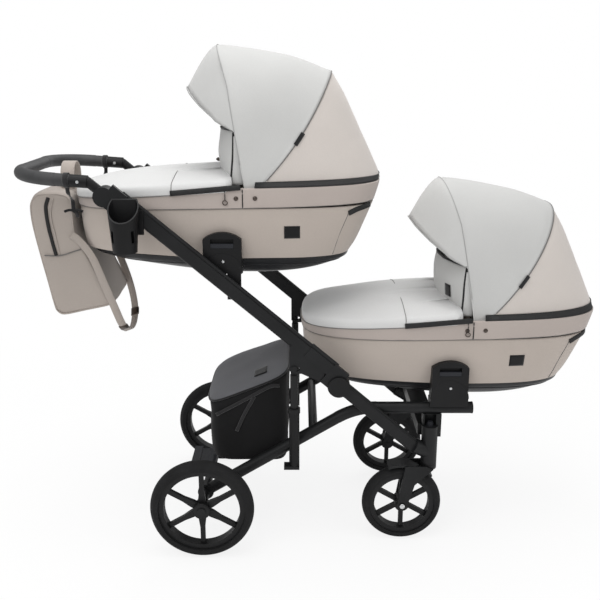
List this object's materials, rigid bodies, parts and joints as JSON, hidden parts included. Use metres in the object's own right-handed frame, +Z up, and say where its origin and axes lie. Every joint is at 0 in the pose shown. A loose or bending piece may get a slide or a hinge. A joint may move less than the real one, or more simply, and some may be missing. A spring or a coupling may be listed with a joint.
{
  "type": "twin pram",
  "caption": "Tandem twin pram: folding wheeled frame carrying two hooded carrycots, one raised behind the other, with a changing bag and a shopping basket.",
  "frame": {"origin": "middle of the pram's outline, on the floor", "axes": "+X towards the front wheels, +Y towards the pram's left side, +Z up"},
  "size_m": [1.6109, 0.6352, 1.3884],
  "materials": {
    "frame_dark": "satin dark charcoal paint",
    "frame_steel": "satin black paint",
    "black_plastic": "fine-grained matte moulding",
    "grip_leather": "dark grey leatherette, fine grain",
    "rivet_metal": "bright brushed metal",
    "button_plastic": "dark grey moulding",
    "tyre": "matte rubber",
    "rim_plastic": "black satin moulding",
    "basket_cloth": "black woven cloth",
    "lid_cloth": "mid grey woven cloth",
    "taupe_cloth": "taupe melange cloth",
    "rim_cloth": "light beige cloth",
    "grey_cloth": "light grey melange cloth",
    "beige_cloth": "beige melange cloth",
    "mattress_cloth": "off-white padded cloth",
    "tray_plastic": "dark grey satin moulding"
  },
  "bodies": {
    "chassis": {"lower_tube_right": "frame_dark", "lower_tube_left": "frame_dark", "end_caps": "black_plastic", "front_leg_right": "frame_dark", "front_leg_left": "frame_dark", "rear_axle": "frame_steel", "cross_members": "frame_steel", "strut_sleeve_right": "black_plastic", "strut_sleeve_left": "black_plastic", "lower_adapters": "black_plastic", "basket_body": "basket_cloth", "basket_lid": "lid_cloth"},
    "push_frame": {"push_tube_right": "frame_dark", "push_tube_left": "frame_dark", "upper_adapters": "black_plastic", "cup_holder": "black_plastic"},
    "handle": {"handle_end_right": "black_plastic", "handle_end_left": "black_plastic", "handle_bar": "grip_leather", "handle_rivets": "rivet_metal"},
    "bag": {"bag_body": "taupe_cloth", "bag_clips": "black_plastic"},
    "brake": {"brake_pedal": "button_plastic"},
    "strut_right": {"strut_rod_right": "frame_steel"},
    "button_right": {"handle_button_right": "button_plastic"},
    "caster_right": {"front_fork_right": "frame_dark"},
    "front_wheel_right": {"front_tyre_right": "tyre", "front_rim_right": "rim_plastic"},
    "rear_wheel_right": {"rear_tyre_right": "tyre", "rear_rim_right": "rim_plastic"},
    "lock_right": {"swivel_lock_right": "button_plastic"},
    "strut_left": {"strut_rod_left": "frame_steel"},
    "button_left": {"handle_button_left": "button_plastic"},
    "caster_left": {"front_fork_left": "frame_dark"},
    "front_wheel_left": {"front_tyre_left": "tyre", "front_rim_left": "rim_plastic"},
    "rear_wheel_left": {"rear_tyre_left": "tyre", "rear_rim_left": "rim_plastic"},
    "lock_left": {"swivel_lock_left": "button_plastic"},
    "upper_cot": {"upper_tray": "tray_plastic", "upper_sides": "taupe_cloth", "upper_rim": "rim_cloth", "upper_apron": "grey_cloth", "upper_mattress": "mattress_cloth", "upper_fittings": "black_plastic", "upper_hood_rear": "beige_cloth"},
    "upper_lever": {"upper_levers": "button_plastic"},
    "upper_hood": {"upper_visor": "grey_cloth", "upper_hood_front": "grey_cloth"},
    "lower_cot": {"lower_tray": "tray_plastic", "lower_sides": "taupe_cloth", "lower_rim": "rim_cloth", "lower_apron": "grey_cloth", "lower_mattress": "mattress_cloth", "lower_fittings": "black_plastic", "lower_hood_rear": "beige_cloth"},
    "lower_lever": {"lower_levers": "button_plastic"},
    "lower_hood": {"lower_visor": "grey_cloth", "lower_hood_front": "grey_cloth"}
  },
  "joints": [
    {"name": "frame_fold", "type": "hinge", "parent": "chassis", "child": "push_frame", "pos_m": [0.0685, 0, 0.488], "axis": [0, -1, 0], "range_deg": [0, 42]},
    {"name": "handle_tilt", "type": "hinge", "parent": "push_frame", "child": "handle", "pos_m": [-0.54149, 0, 1.00714], "axis": [0, 1, 0], "range_deg": [0, 40]},
    {"name": "bag_swing", "type": "hinge", "parent": "handle", "child": "bag", "pos_m": [-0.64997, 0, 1.04789], "axis": [0, 1, 0], "range_deg": [0, 6]},
    {"name": "strut_slide_right", "type": "slide", "parent": "chassis", "child": "strut_right", "axis": [0, 0, -1], "range_m": [0, 0.0925]},
    {"name": "button_press_right", "type": "slide", "parent": "handle", "child": "button_right", "axis": [0, -1, 0], "range_m": [0, 0.0035], "stiffness_N_per_m": 600},
    {"name": "caster_swivel_right", "type": "hinge", "parent": "chassis", "child": "caster_right", "pos_m": [0.33, -0.2, 0.24], "axis": [0, 0, 1], "continuous": true},
    {"name": "front_wheel_spin_right", "type": "hinge", "parent": "caster_right", "child": "front_wheel_right", "pos_m": [0.256, -0.2, 0.114], "axis": [0, 1, 0], "continuous": true},
    {"name": "rear_wheel_spin_right", "type": "hinge", "parent": "chassis", "child": "rear_wheel_right", "pos_m": [-0.31, -0.293, 0.145], "axis": [0, 1, 0], "continuous": true},
    {"name": "swivel_lock_press_right", "type": "slide", "parent": "chassis", "child": "lock_right", "axis": [0, 0, -1], "range_m": [0, 0.006]},
    {"name": "strut_slide_left", "type": "slide", "parent": "chassis", "child": "strut_left", "axis": [0, 0, -1], "range_m": [0, 0.0925]},
    {"name": "button_press_left", "type": "slide", "parent": "handle", "child": "button_left", "axis": [0, 1, 0], "range_m": [0, 0.0035], "stiffness_N_per_m": 600},
    {"name": "caster_swivel_left", "type": "hinge", "parent": "chassis", "child": "caster_left", "pos_m": [0.33, 0.2, 0.24], "axis": [0, 0, 1], "continuous": true},
    {"name": "front_wheel_spin_left", "type": "hinge", "parent": "caster_left", "child": "front_wheel_left", "pos_m": [0.256, 0.2, 0.114], "axis": [0, 1, 0], "continuous": true},
    {"name": "rear_wheel_spin_left", "type": "hinge", "parent": "chassis", "child": "rear_wheel_left", "pos_m": [-0.31, 0.293, 0.145], "axis": [0, 1, 0], "continuous": true},
    {"name": "swivel_lock_press_left", "type": "slide", "parent": "chassis", "child": "lock_left", "axis": [0, 0, -1], "range_m": [0, 0.006]},
    {"name": "brake_press", "type": "hinge", "parent": "chassis", "child": "brake", "pos_m": [-0.31, 0, 0.145], "axis": [0, -1, 0], "range_deg": [0, 18]},
    {"name": "upper_cot_lift", "type": "slide", "parent": "chassis", "child": "upper_cot", "axis": [0, 0, 1], "range_m": [0, 0.441]},
    {"name": "upper_lever_press", "type": "slide", "parent": "upper_cot", "child": "upper_lever", "axis": [0, 0, 1], "range_m": [0, 0.011], "stiffness_N_per_m": 500},
    {"name": "upper_hood_fold", "type": "hinge", "parent": "upper_cot", "child": "upper_hood", "pos_m": [-0.17761, 0, 0.98992], "axis": [0, 1, 0], "range_deg": [0, 38], "deforming": ["upper_hood_front"]},
    {"name": "lower_cot_lift", "type": "slide", "parent": "chassis", "child": "lower_cot", "axis": [0, 0, 1], "range_m": [0, 0.441]},
    {"name": "lower_lever_press", "type": "slide", "parent": "lower_cot", "child": "lower_lever", "axis": [0, 0, 1], "range_m": [0, 0.011], "stiffness_N_per_m": 500},
    {"name": "lower_hood_fold", "type": "hinge", "parent": "lower_cot", "child": "lower_hood", "pos_m": [0.44439, 0, 0.62892], "axis": [0, 1, 0], "range_deg": [0, 38], "deforming": ["lower_hood_front"]}
  ],
  "couplings": [
    {"joint": "strut_slide_right", "follows": "frame_fold", "m_per_rad": 0.125},
    {"joint": "strut_slide_left", "follows": "frame_fold", "m_per_rad": 0.125},
    {"joint": "upper_cot_lift", "follows": "frame_fold", "m_per_rad": 0.6},
    {"joint": "lower_cot_lift", "follows": "frame_fold", "m_per_rad": 0.6}
  ]
}
